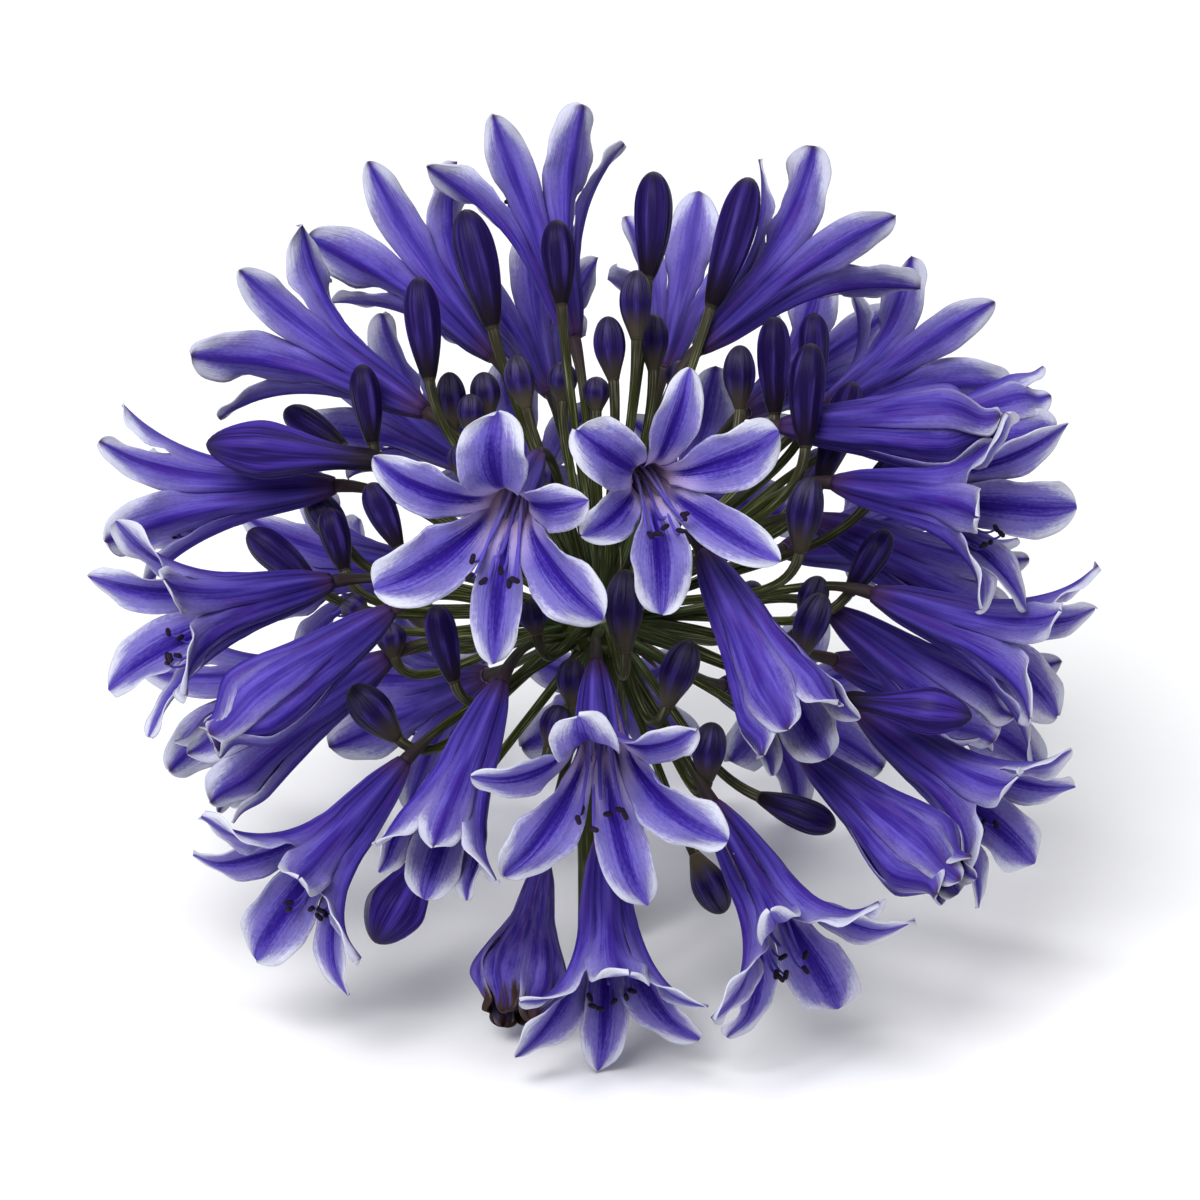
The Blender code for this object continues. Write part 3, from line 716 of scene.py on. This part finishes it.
def tepal(lobe, spread, straight, bent, wilt, tone, dice):
    """One tepal from the floret's foot to its tip, as a closed shell in the floret's own frame.

    In the tube its radius is the join's plus a power of the height. Past the split its midrib leans from
    one angle to another by a power of the share, as the solid's does. A row is an arc round the axis whose
    length is the width there. Each point is then moved along the surface's normal: out for a keel on the
    midrib, in for the channel on either side, and both ways for the waves, which grow toward the edges.

    A half closed floret swells to a bell by a sine of the share and pinches at its tips, a straight one
    leans less in a slimmer funnel, and a wilted one crumples. Bent is what sets a lobe out of line.
    """
    more_lean, more_turn, length_share = bent
    inner = lobe % 2 == 0
    flat = float(ease(spread, *FLAT_SPREAD))
    first, last = (shut + (wide - shut) * spread for shut, wide in zip(CLOSED_ANGLES, OPEN_ANGLES))
    first = first + FLAT_LEAN * flat + STRAIGHT_FIRST * straight
    last = last - STRAIGHT_LAST * straight + more_lean
    power = CURL_POWER - FLAT_POWER * flat - STRAIGHT_POWER * straight
    split_radius = SPLIT_RADIUS - FLAT_NARROWING * flat - STRAIGHT_NARROWING * straight
    tube_length = TUBE_LENGTH + FLAT_RISE * flat
    middle = (np.arange(MIDRIB_STEPS) + 0.5) / MIDRIB_STEPS
    lean = np.radians(first + (last - first) * middle**power)
    stretch = dice.uniform(0.98, 1.06) * length_share * (LOBE_LENGTH - FLAT_SHORTENING * flat) / MIDRIB_STEPS
    stops = np.linspace(0.0, 1.0, MIDRIB_STEPS + 1)
    share = 1.0 - (1.0 - np.linspace(0.0, 1.0, LOBE_ROWS)) ** 1.5
    outward = np.concatenate(([0.0], np.cumsum(np.sin(lean)))) * stretch
    upward = np.concatenate(([0.0], np.cumsum(np.cos(lean)))) * stretch
    radius = np.interp(share, stops, split_radius + outward)
    height = np.interp(share, stops, tube_length + upward)
    lean = np.radians(first + (last - first) * share**power)

    tube_height = np.linspace(0.0, tube_length, TUBE_ROWS, endpoint=False)
    tube_radius = JOIN_RADIUS + (split_radius - JOIN_RADIUS) * (tube_height / tube_length) ** TUBE_FLARE
    tube_lean = np.arctan(np.gradient(tube_radius, tube_height))
    lobe_half = np.maximum(lobe_width(share, inner), TIP_HALF_WIDTH)
    lobe_half = lobe_half * (1.0 - CLAW_NARROWING * flat * ease(share, 0.35, 0.0))
    lobe_half = lobe_half * (1.0 + FOOT_WIDENING * (1.0 - flat) * ease(share, 0.30, 0.0))
    lobe_half = lobe_half * (1.0 - (1.0 - STRAIGHT_SLIMNESS) * straight)
    tube_half = tube_radius * math.pi / TEPALS * (1.02 + 0.12 * (1.0 - flat) * tube_height / tube_length)
    half = np.concatenate((tube_half, lobe_half))
    radius = np.concatenate((tube_radius, radius))
    height = np.concatenate((tube_height, height))
    lean = np.concatenate((tube_lean, lean))[:, None]
    free = np.concatenate((np.zeros(TUBE_ROWS), share))
    tube_along = tube_height / tube_length * SPLIT_SHARE
    along = np.concatenate((tube_along, SPLIT_SHARE + (1.0 - SPLIT_SHARE) * share))

    closed = 1.0 - ease(spread, 0.25, 0.75)
    bell = 1.0 - float(ease(spread, BELL_SPREAD[1], BELL_SPREAD[0]))
    swell = (BELL_SWELL + WILTED_SWELL * wilt) * bell
    radius = radius + swell * np.sin(math.pi * free**BELL_POWER)
    radius = radius * (1.0 - (BELL_PINCH - WILTED_OPENING * wilt) * bell * ease(free, 0.64, 0.97))
    across = np.linspace(-1.0, 1.0, ACROSS)[None, :]
    sway = (dice.uniform(-0.10, 0.10) + more_turn) * free**2
    arc = np.minimum(half / radius, 1.25)
    closing = math.pi / TEPALS * (1.25 if inner else 1.08)
    arc = arc + bell * (1.0 - ease(free, 0.62, 0.98)) * np.maximum(closing - arc, 0.0)
    turn = lobe * FULL_TURN / TEPALS + sway[:, None] + across * arc[:, None]

    reach = free[:, None]
    edge = np.abs(across)
    sides = (across > 0.0).astype(float)
    phases = dice.uniform(0.0, FULL_TURN, 4)
    wave = np.sin(FULL_TURN * WAVES * reach + phases[0] + sides * (phases[1] - phases[0]))
    flutter = np.sin(FULL_TURN * FLUTTERS * reach + phases[2] + sides * (phases[3] - phases[2]))
    depth = WAVE_DEPTHS[inner] * (1.0 + 1.5 * wilt) * edge**2 * ease(reach, 0.08, 0.6)
    depth = depth * (1.0 - 0.55 * closed) * (1.0 - 0.5 * bell)
    keel = KEEL_HEIGHT * np.exp(-((across / KEEL_SHARE) ** 2)) * ease(reach, 0.0, 0.15)
    keel = keel * (1.0 - 0.7 * ease(reach, 0.7, 1.0))
    pleats = PLEAT_DEPTH * np.cos(across * 9.0) * ease(reach, 0.05, 0.3) * ease(1.0 - reach, 0.0, 0.25)
    tube_rib = TUBE_RIB_HEIGHT * (np.cos(math.pi * across) * 0.5 + 0.5) * ease(along, 0.02, 0.15)[:, None]
    tube_rib = tube_rib * (1.0 - ease(reach, 0.0, 0.2))
    layer = (-LAYER_OFFSET if inner else LAYER_OFFSET) * ease(reach, 0.0, 0.35) * (0.5 + 0.7 * closed)
    channel = -CHANNEL_DEPTHS[inner] * edge**1.6 * np.sin(math.pi * np.minimum(reach * 1.2, 1.0))
    channel = channel * (1.0 - 0.8 * bell)
    recurve = dice.uniform(0.4, 2.6) * ease(reach, 0.62, 1.0) ** 2 * (1.0 - closed) * (1.0 - straight)
    twist = across * half[:, None] * math.tan(dice.uniform(-0.20, 0.20)) * reach * (1.0 - 0.6 * closed)
    crumple = np.sin(FULL_TURN * (1.3 * reach + 0.9 * across) + phases[0])
    crumple = wilt * 0.9 * crumple * ease(reach, 0.2, 0.8)
    out = wave * depth + flutter * depth * FLUTTER_SHARE + keel + pleats + tube_rib
    flick = (0.8 + 1.8 * phases[1] / FULL_TURN) * bell * ease(reach, 0.84, 1.0)
    out = out + layer + channel + recurve + twist + crumple + flick

    level = 0.0 * turn
    normal = (np.cos(lean) * np.cos(turn), np.cos(lean) * np.sin(turn), level - np.sin(lean))
    normal = np.stack(normal, -1)
    spine = (radius[:, None] * np.cos(turn), radius[:, None] * np.sin(turn), level + height[:, None])
    spine = np.stack(spine, -1)
    thick = EDGE_THICKNESS + (MID_THICKNESS - EDGE_THICKNESS) * (1.0 - edge**1.5) * (1.0 - 0.6 * reach)
    front = spine + normal * (out + thick / 2.0)[:, :, None]
    back = spine + normal * (out - thick / 2.0)[:, :, None]
    seed = dice.uniform(0.0, 9.0)
    growth = np.stack(np.broadcast_arrays(across, along[:, None], seed), -1).reshape(-1, 3)
    shell = blade(front, back, growth)
    outside = np.repeat((1.0, 0.0), len(growth))
    return shaded(shell, outside, tone, wilt)


def floret_frame(heading, roll):
    """Three directions of a floret: across, side and heading, the first two rolled about the third."""
    axis = direction(heading)
    across = unit(UP - axis * UP.dot(axis))
    side = np.cross(axis, across)
    turn = math.radians(roll)
    first = across * math.cos(turn) + side * math.sin(turn)
    second = side * math.cos(turn) - across * math.sin(turn)
    return np.stack((first, second, axis))


def set_in_place(shell, base, axes, size):
    """The shell's points turned to the floret's directions, scaled by its size and moved to its base."""
    return {**shell, "points": place(base) + size * shell["points"] @ axes}


def tepal_material():
    """Violet-blue with fine lengthwise streaks and bands, a dark feathered midrib, a pale margin and a pale
    throat. The outside is deeper, with warm patches, painted highlights on the tube's ridges and painted
    shade in the valleys between.

    Growth holds the way across from -1 to 1, the share along and a seed; shade holds whether the face is
    the outside, tone, and wilt. Streaks and bands are noise stretched along the tepal.
    """
    finish = Finish("tepal", 0.44, 0.05)
    times, plus, step, mix = finish.times, finish.plus, finish.step, finish.mix
    across, along, seed = finish.parts("growth")
    outside, tone, wilt = finish.parts("shade")
    edge = finish.maths("ABSOLUTE", across)

    def grown(wide, long, shift, scale, detail):
        """Noise at the way across times wide, the share along times long, and the seed shifted."""
        where = finish.vector(times(across, wide), times(along, long), plus(seed, shift))
        return finish.noise(where, scale, detail)

    streaks = grown(17.0, 3.0, 0.0, 1.0, 3.0)
    cloud = grown(3.0, 5.0, 20.0, 1.3, 3.0)
    bands = grown(5.0, 1.6, 60.0, 1.0, 2.0)
    mottle = grown(14.0, 38.0, 40.0, 1.3, 3.0)
    ragged = plus(edge, times(plus(streaks, -0.5), 0.36))
    ragged = plus(ragged, times(plus(mottle, -0.5), 0.30))
    toward_tip = step(along, 0.45, 1.0)
    lobe = step(along, 0.36, 0.52)

    grain = plus(times(streaks, 0.5), times(bands, 0.5))
    colour = mix(step(grain, 0.38, 0.62), TEPAL_DEEP, TEPAL_BODY)
    pale_from = plus(plus(ragged, times(toward_tip, 0.34)), times(cloud, 0.34))
    colour = mix(times(step(pale_from, 0.44, 1.06), lobe), colour, TEPAL_LILAC)
    at_tip = times(step(along, 0.76, 1.0), 0.40)
    margin = step(plus(pale_from, at_tip), 1.06, 1.64)
    colour = mix(times(margin, lobe), colour, TEPAL_MARGIN)
    clear = finish.maths("MAXIMUM", step(edge, 1.0, 0.80), step(along, 0.36, 0.46))
    claw = times(step(along, 0.62, 0.40), step(ragged, 0.06, 0.50))
    claw = times(claw, clear)
    colour = mix(times(claw, 0.65), colour, TEPAL_CLAW)
    stripe_edge = plus(ragged, times(step(along, 0.62, 1.0), 0.16))
    stripe = times(step(stripe_edge, 0.46, 0.02), step(along, 0.97, 0.84))
    stripe = times(stripe, step(along, 0.36, 0.50))
    colour = mix(times(stripe, 0.92), colour, TEPAL_MIDRIB)
    throat = times(step(along, 0.44, 0.28), clear)
    colour = mix(times(throat, 0.80), colour, TEPAL_THROAT)

    soft = plus(times(streaks, 0.3), times(bands, 0.7))
    back = mix(step(soft, 0.30, 0.72), TUBE_VIOLET, TUBE_LINE)
    back_body = step(plus(soft, times(cloud, 0.4)), 0.50, 0.90)
    back_body = mix(back_body, TEPAL_DEEP, TEPAL_BODY)
    back = mix(step(along, 0.20, 0.62), back, back_body)
    warm = step(grown(1.4, 2.6, 80.0, 1.2, 2.0), 0.48, 0.66)
    back = mix(times(warm, 0.45), back, TEPAL_WARM)
    pale_behind = plus(pale_from, times(step(wilt, 0.0, 0.10), -0.26))
    back_pale = times(step(pale_behind, 0.45, 1.02), step(along, 0.40, 0.74))
    back = mix(times(back_pale, 0.90), back, TEPAL_LILAC)
    back_margin = step(plus(pale_behind, at_tip), 0.98, 1.54)
    back_margin = times(back_margin, step(along, 0.58, 0.88))
    back = mix(times(back_margin, 0.85), back, TEPAL_MARGIN)
    keel = times(step(plus(edge, times(streaks, 0.12)), 0.30, 0.03), lobe)
    back = mix(times(keel, 0.70), back, TEPAL_MIDRIB)
    # Painted highlight along the middle of each tepal on the tube, where its ridge would catch the light
    ridge = step(plus(edge, times(streaks, 0.3)), 0.50, 0.10)
    ridge = times(ridge, step(along, 0.50, 0.30))
    back = mix(times(ridge, 0.55), back, TEPAL_BODY)
    # Painted shade in the creases between neighbouring tepals on the tube
    valley_shade = times(step(edge, 0.60, 1.0), step(along, 0.56, 0.36))
    back = mix(times(valley_shade, 0.70), back, TUBE_VALLEY_SHADE)
    point = times(step(along, 0.965, 0.995), step(edge, 0.9, 0.3))
    back = mix(times(point, 0.7), back, TUBE_FOOT)
    foot = step(plus(along, times(streaks, 0.06)), 0.19, 0.02)
    back = mix(times(foot, 0.85), back, TUBE_FOOT)
    colour = mix(outside, colour, back)

    pale = times(step(tone, 0.65, 1.0), 0.45)
    pale = times(pale, step(along, 0.10, 0.45))
    colour = mix(pale, colour, PALE_VIOLET)
    brightness = plus(times(tone, 0.50), 0.61)
    brightness = plus(brightness, times(mottle, 0.34))
    colour = finish.lighten(colour, brightness)
    faded = times(times(wilt, step(cloud, 0.40, 0.75)), 0.26)
    colour = mix(faded, colour, WILT_PINK)
    scorch = times(wilt, step(plus(along, times(cloud, 0.4)), 1.02, 1.16))
    colour = mix(scorch, colour, WILT_BROWN)
    return finish.close(colour, streaks, 0.00012, plus(times(streaks, 0.20), 0.38))


tepal_skin = tepal_material()
tone_dice = np.random.default_rng(31)
for number, (base, heading, roll, spread, size) in enumerate(FLORETS, 1):
    solid_dice = np.random.default_rng(number)
    shape_dice = np.random.default_rng(1000 + number)
    axes = floret_frame(heading, roll)
    tone = TONES.get(number, tone_dice.uniform(0.30, 0.50))
    wilt = WILTED.get(number, 0.0)
    lobes = []
    for lobe in range(TEPALS):
        own_spread = spread + solid_dice.uniform(-SPREAD_VARIATION, SPREAD_VARIATION)
        bent = BENT_LOBES.get((number, lobe), (0.0, 0.0, 1.0))
        shell = tepal(lobe, own_spread, how_straight(number), bent, wilt, tone, shape_dice)
        lobes.append(set_in_place(shell, base, axes, size))
    add_piece(f"trumpet_{number:02d}", lobes, tepal_skin, (f"floret_{number:02d}",))


# Ovary, style and stamens
# In each open trumpet a green ovary sits at the foot of the tube. One pale style and six violet filaments
# spring round it, lean to the lower side and curl up at their ends; each filament carries a dark anther.

OPEN_ENOUGH = 0.38
FILAMENT_RADIUS = 0.33
FILAMENT_ROWS = 28
FILAMENT_SIDES = 8
FILAMENT_START = 11.0
FILAMENT_CLEARANCE = 0.95
ANTHER_HALF_LENGTH = 0.95
ANTHER_RADIUS = 0.55
ANTHER_ROWS = 10
OVARY_RADIUS = 1.7
OVARY_HALF_LENGTH = 3.6
OVARY_HEIGHT = 6.0
OVARY_ROWS = 14
OVARY_SIDES = 18
STYLE_RADIUS = 0.30

FILAMENT_LOW = (0.42, 0.34, 0.68)
FILAMENT_HIGH = (0.12, 0.085, 0.50)
ANTHER_DARK = (0.011, 0.005, 0.018)
ANTHER_DUST = (0.032, 0.020, 0.028)
OVARY_GREEN = (0.16, 0.19, 0.035)


def organ_material():
    """One finish for what stands in the trumpet; shade's first number picks it.

    0 is a filament, pale at the foot and violet above; 1 a dusty near-black anther; 2 the green ovary.
    """
    finish = Finish("stamens and ovary", 0.5, 0.12)
    times, plus, step, mix = finish.times, finish.plus, finish.step, finish.mix
    round_x, round_y, along = finish.parts("growth")
    kind, tone, _ = finish.parts("shade")
    grain = finish.around((round_x, round_y), along, 3.0, 5.0, times(tone, 5.0))
    dust = finish.noise(grain, 2.4, 4.0)
    colour = mix(step(along, 0.05, 0.55), FILAMENT_LOW, FILAMENT_HIGH)
    anther = mix(step(dust, 0.52, 0.72), ANTHER_DARK, ANTHER_DUST)
    colour = mix(step(kind, 0.4, 0.6), colour, anther)
    colour = mix(step(kind, 1.4, 1.6), colour, OVARY_GREEN)
    return finish.close(colour, dust, 0.00015, plus(times(dust, 0.3), 0.38))


def on_axis(height):
    """A point on a floret's own axis."""
    return np.array((0.0, 0.0, height))


def stamen(start, end, down, dice):
    """A filament and its anther: a cubic curve that leaves along the trumpet, sags to the lower side and
    turns up at its end, then an ellipsoid set across that end.
    """
    lift = on_axis(1.0)
    first_pull = start + lift * 9.0 + down * 0.5
    last_pull = end - lift * dice.uniform(1.5, 4.5) + down * dice.uniform(3.5, 5.0)
    path = bezier(start, first_pull, last_pull, end, FILAMENT_ROWS)
    reference = np.cross(lift, down) + 0.15 * down
    radius = np.linspace(FILAMENT_RADIUS * 1.15, FILAMENT_RADIUS * 0.62, FILAMENT_ROWS)
    filament = shaded(sweep(path, radius, FILAMENT_SIDES, reference), 0.0, dice.uniform(), 0.0)
    heading = unit(path[-1] - path[-3])
    across = unit(np.cross(heading, unit(dice.normal(size=3))))
    across = unit(across + 0.35 * heading)
    way = np.sin(np.linspace(-0.97, 0.97, ANTHER_ROWS) * math.pi / 2.0)
    anther_path = end + np.outer(way * ANTHER_HALF_LENGTH, across)
    anther_radius = ANTHER_RADIUS * np.sqrt(1.0 - way**2) * (1.0 - 0.12 * np.cos(way * 3.0))
    anther = sweep(anther_path, anther_radius, FILAMENT_SIDES, unit(np.cross(across, heading)))
    return filament, shaded(anther, 1.0, dice.uniform(), 0.0)


organ_skin = organ_material()
for number, (base, heading, roll, spread, size) in enumerate(FLORETS, 1):
    if spread < OPEN_ENOUGH:
        continue
    dice = np.random.default_rng(2000 + number)
    axes = floret_frame(heading, roll)
    lower = axes @ on_axis(-1.0)
    lower[2] = 0.0
    steepness = np.linalg.norm(lower)
    down = lower / max(steepness, 0.05)
    aside = np.array((-down[1], down[0], 0.0))
    organs = []
    sag = 3.0 + 3.0 * min(steepness, 1.0)
    flat = float(ease(spread, *FLAT_SPREAD))
    tube_share = FILAMENT_START / (TUBE_LENGTH + FLAT_RISE * flat)
    tube_end = SPLIT_RADIUS - FLAT_NARROWING * flat - STRAIGHT_NARROWING * how_straight(number)
    tube_there = JOIN_RADIUS + (tube_end - JOIN_RADIUS) * tube_share**TUBE_FLARE
    for k in range(TEPALS):
        angle = k * FULL_TURN / TEPALS + 0.26
        ring = np.array((math.cos(angle), math.sin(angle), 0.0))
        start = ring * (tube_there - FILAMENT_CLEARANCE) + on_axis(FILAMENT_START)
        fan = aside * (k - 2.5) * 1.35 + down * (sag + dice.uniform(-1.2, 1.2))
        end = fan + ring * 1.2 + on_axis(dice.uniform(29.0, 34.0))
        organs += stamen(start, end, down, dice)
    style_path = bezier(
        on_axis(8.0),
        on_axis(17.0),
        down * (sag * 1.3) + on_axis(22.0),
        down * (sag * 0.8) + on_axis(28.0),
        FILAMENT_ROWS,
    )
    style_radius = np.linspace(STYLE_RADIUS * 1.4, STYLE_RADIUS, FILAMENT_ROWS)
    organs.append(shaded(sweep(style_path, style_radius, FILAMENT_SIDES, aside), 0.0, 0.3, 0.0))
    ovary_way = np.sin(np.linspace(-0.96, 0.96, OVARY_ROWS) * math.pi / 2.0)
    ovary_path = np.outer(ovary_way * OVARY_HALF_LENGTH, on_axis(1.0)) + on_axis(OVARY_HEIGHT)
    ovary_turn = np.arange(OVARY_SIDES) * FULL_TURN / OVARY_SIDES
    ovary_profile = OVARY_RADIUS * np.sqrt(1.0 - ovary_way**2)
    ovary_radius = ovary_profile[:, None] * (1.0 + 0.12 * np.cos(3.0 * ovary_turn))[None, :]
    organs.append(shaded(sweep(ovary_path, ovary_radius, OVARY_SIDES, RIGHT), 2.0, 0.5, 0.0))
    placed = [set_in_place(shell, base, axes, size) for shell in organs]
    add_piece(f"stamens_{number:02d}", placed, organ_skin)


# Bracteoles
# Thin papery scales that stand between the pedicels where they leave the receptacle. Dry, pale and curled,
# each is a narrow pointed strip a few fibres thick.

BRACTEOLES = 22
BRACTEOLE_LENGTH = 9.5
BRACTEOLE_HALF_WIDTH = 0.7
BRACTEOLE_THICKNESS = 0.16
BRACTEOLE_PALE = (0.24, 0.20, 0.12)
BRACTEOLE_TAN = (0.085, 0.060, 0.035)


def bracteole(out, dice):
    """A pointed strip on a curve from the receptacle, with its sides folded in and its end curled aside."""
    rows, columns = 14, 5
    share = np.linspace(0.0, 1.0, rows)
    aside = unit(np.cross(out, unit(dice.normal(size=3))))
    length = BRACTEOLE_LENGTH * dice.uniform(0.6, 1.0)
    curl = dice.uniform(0.15, 0.5) * length
    flat = np.cross(out, aside)
    spine = HUB + np.outer(HUB_RADIUS * 0.7 + share * length, out) + np.outer(curl * share**2, flat)
    half = BRACTEOLE_HALF_WIDTH * np.sqrt(np.maximum(1.0 - share**1.6, 0.01))
    across = np.linspace(-1.0, 1.0, columns)
    grid = spine[:, None, :] + (half[:, None] * across[None, :])[:, :, None] * aside
    grid = grid + (half[:, None] * 0.5 * across[None, :] ** 2)[:, :, None] * flat
    growth = np.stack(np.broadcast_arrays(across[None, :], share[:, None], dice.uniform(0.0, 9.0)), -1)
    normal = flat * BRACTEOLE_THICKNESS / 2.0
    return shaded(blade(grid - normal, grid + normal, growth.reshape(-1, 3)), 0.0, 0.0, 0.0)


def bracteole_material():
    """Pale and dry with tan fibres along it; growth holds the way across, the share along and a seed."""
    finish = Finish("bracteole", 0.7)
    across, along, seed = finish.parts("growth")
    fibres = finish.noise(finish.vector(finish.times(across, 6.0), finish.times(along, 1.5), seed), 1.5, 3.0)
    colour = finish.mix(finish.step(fibres, 0.4, 0.65), BRACTEOLE_PALE, BRACTEOLE_TAN)
    return finish.close(colour, fibres, 0.0001, finish.plus(finish.times(fibres, 0.2), 0.6))


bract_dice = np.random.default_rng(47)
bract_headings = unit(bract_dice.normal(size=(BRACTEOLES, 3)) * (1.0, 1.0, 0.7))
bracts = [bracteole(heading, bract_dice) for heading in bract_headings]
add_piece("bracteoles", bracts, bracteole_material())


# Floor, light and camera
# A flat pale floor, three soft lamps and a pale sky. The camera stands one metre off at the photo's angle
# and looks down by as much as the layout is tipped back.

FLOOR_HALF = 3.0
FLOOR_COLOUR = (0.88, 0.88, 0.89, 1.0)
SKY_COLOUR = (0.95, 0.97, 1.0, 1.0)
SKY_STRENGTH = 0.25
CAMERA_DISTANCE = 1000.0
CAMERA_LENS = 170.5
SENSOR = 36.0
AIM = HUB - RIGHT * 0.35 + UP * 3.87

floor_mesh = bpy.data.meshes.new("floor")
floor_side = np.array(((-1, -1, 0), (1, -1, 0), (1, 1, 0), (-1, 1, 0))) * FLOOR_HALF
floor_mesh.from_pydata(floor_side.tolist(), [], [(0, 1, 2, 3)])
floor = bpy.data.objects.new("floor", floor_mesh)
bpy.context.scene.collection.objects.link(floor)
floor_paint = bpy.data.materials.new("pale floor")
floor_paint.use_nodes = True
floor_shader = floor_paint.node_tree.nodes["Principled BSDF"]
floor_shader.inputs["Base Color"].default_value = FLOOR_COLOUR
floor_shader.inputs["Roughness"].default_value = 0.9
floor_mesh.materials.append(floor_paint)

world = bpy.data.worlds.new("sky")
world.use_nodes = True
sky_light = world.node_tree.nodes["Background"]
sky_light.inputs["Color"].default_value = SKY_COLOUR
sky_light.inputs["Strength"].default_value = SKY_STRENGTH
bpy.context.scene.world = world
bpy.context.scene.view_settings.view_transform = "Standard"


def add_lamp(name, spot, size, power):
    """A square soft lamp at a place in metres, turned to the head."""
    light = bpy.data.lights.new(name, "AREA")
    light.energy = power
    light.size = size
    lamp = bpy.data.objects.new(name, light)
    bpy.context.scene.collection.objects.link(lamp)
    lamp.location = spot
    lamp.rotation_euler = (Vector(HUB * MM) - Vector(spot)).to_track_quat("-Z", "Y").to_euler()


add_lamp("key lamp", (-0.35, -0.8, 1.0), 0.75, 22.0)
add_lamp("fill lamp", (0.9, -0.6, 0.5), 0.9, 1.8)
add_lamp("back lamp", (0.3, 1.3, 1.2), 1.5, 20.0)

camera_data = bpy.data.cameras.new("camera")
camera_data.lens = CAMERA_LENS
camera_data.sensor_width = SENSOR
camera_data.clip_start = 0.05
camera_data.clip_end = 20.0
camera = bpy.data.objects.new("camera", camera_data)
bpy.context.scene.collection.objects.link(camera)
camera.location = (AIM + TOWARD * CAMERA_DISTANCE) * MM
camera.rotation_euler = Vector(-TOWARD).to_track_quat("-Z", "Y").to_euler()
bpy.context.scene.camera = camera
